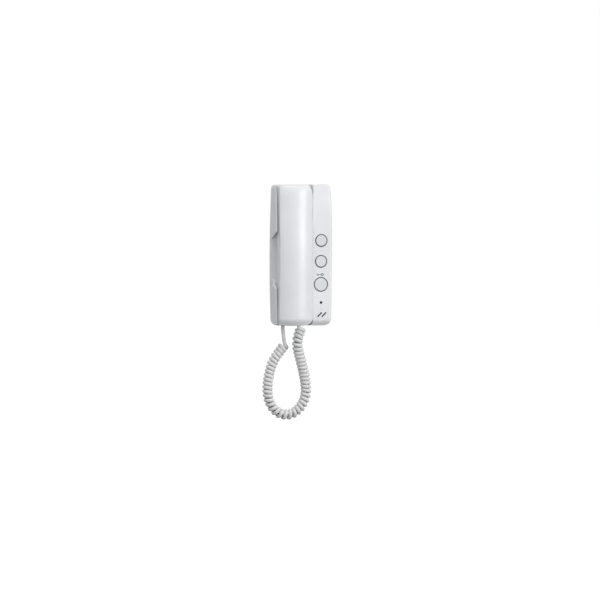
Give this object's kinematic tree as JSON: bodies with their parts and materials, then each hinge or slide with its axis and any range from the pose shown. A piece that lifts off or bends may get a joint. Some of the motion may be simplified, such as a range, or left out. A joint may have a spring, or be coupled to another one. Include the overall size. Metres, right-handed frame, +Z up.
{
  "type": "audio intercom handset",
  "caption": "Wall-mounted audio door intercom: handset in its cradle, three push buttons, indicator, sounder slots and a curly cord.",
  "frame": {"origin": "middle of the wall plate's back face, on the wall", "axes": "+Y into the wall, so the front looks towards -Y; +Z up; +X right seen from the front"},
  "size_m": [0.0952, 0.0426, 0.3157],
  "materials": {
    "white_plastic": "satin moulded ABS, cool white",
    "handset_plastic": "satin moulded ABS, cool white",
    "button_plastic": "fine-grained, slightly greyer white",
    "lens": "dark red polished light pipe",
    "black_plastic": "black moulded plastic",
    "lever_plastic": "natural white acetal",
    "circuit_board": "green glass-fibre laminate",
    "terminal_plastic": "green moulded polyamide",
    "terminal_metal": "plated brass",
    "screw_steel": "zinc-plated",
    "capsule_metal": "drawn can",
    "cord_rubber": "soft PVC jacket, off-white",
    "boot_rubber": "black moulded rubber",
    "foam": "dark foam ring"
  },
  "bodies": {
    "base": {"wall_plate": "white_plastic", "front_housing": "white_plastic", "main_board": "circuit_board", "terminal_block": "terminal_plastic", "terminal_screws": "terminal_metal", "button_board": "circuit_board", "button_switches": "black_plastic", "board_screws": "screw_steel", "housing_screw": "screw_steel", "indicator_lens": "lens", "tone_sounder": "black_plastic", "hook_pin": "screw_steel", "hook_switch": "black_plastic", "base_cord_bush": "cord_rubber", "curly_cord": "cord_rubber"},
    "handset": {"handset_front_shell": "handset_plastic", "handset_rear_shell": "handset_plastic", "receiver_capsule": "capsule_metal", "receiver_gasket": "foam", "microphone_capsule": "capsule_metal", "microphone_boot": "boot_rubber", "handset_screws": "screw_steel", "handset_cord_bush": "cord_rubber"},
    "call_button": {"call_button": "button_plastic"},
    "aux_button": {"aux_button": "button_plastic"},
    "door_button": {"door_button": "button_plastic"},
    "hook_lever": {"hook_lever": "lever_plastic"}
  },
  "joints": [
    {"name": "handset_lift", "type": "slide", "parent": "base", "child": "handset", "axis": [0, -1, 0], "range_m": [0, 0.04]},
    {"name": "hook_lever_turn", "type": "hinge", "parent": "base", "child": "hook_lever", "pos_m": [-0.012, -0.011, 0.006], "axis": [1, 0, 0], "range_deg": [0, 8]},
    {"name": "call_button_press", "type": "slide", "parent": "base", "child": "call_button", "axis": [0, 1, 0], "range_m": [0, 0.001], "stiffness_N_per_m": 400},
    {"name": "aux_button_press", "type": "slide", "parent": "base", "child": "aux_button", "axis": [0, 1, 0], "range_m": [0, 0.001], "stiffness_N_per_m": 400},
    {"name": "door_button_press", "type": "slide", "parent": "base", "child": "door_button", "axis": [0, 1, 0], "range_m": [0, 0.001], "stiffness_N_per_m": 400}
  ],
  "couplings": [
    {"joint": "hook_lever_turn", "follows": "handset_lift", "rad_per_m": 3.4}
  ]
}
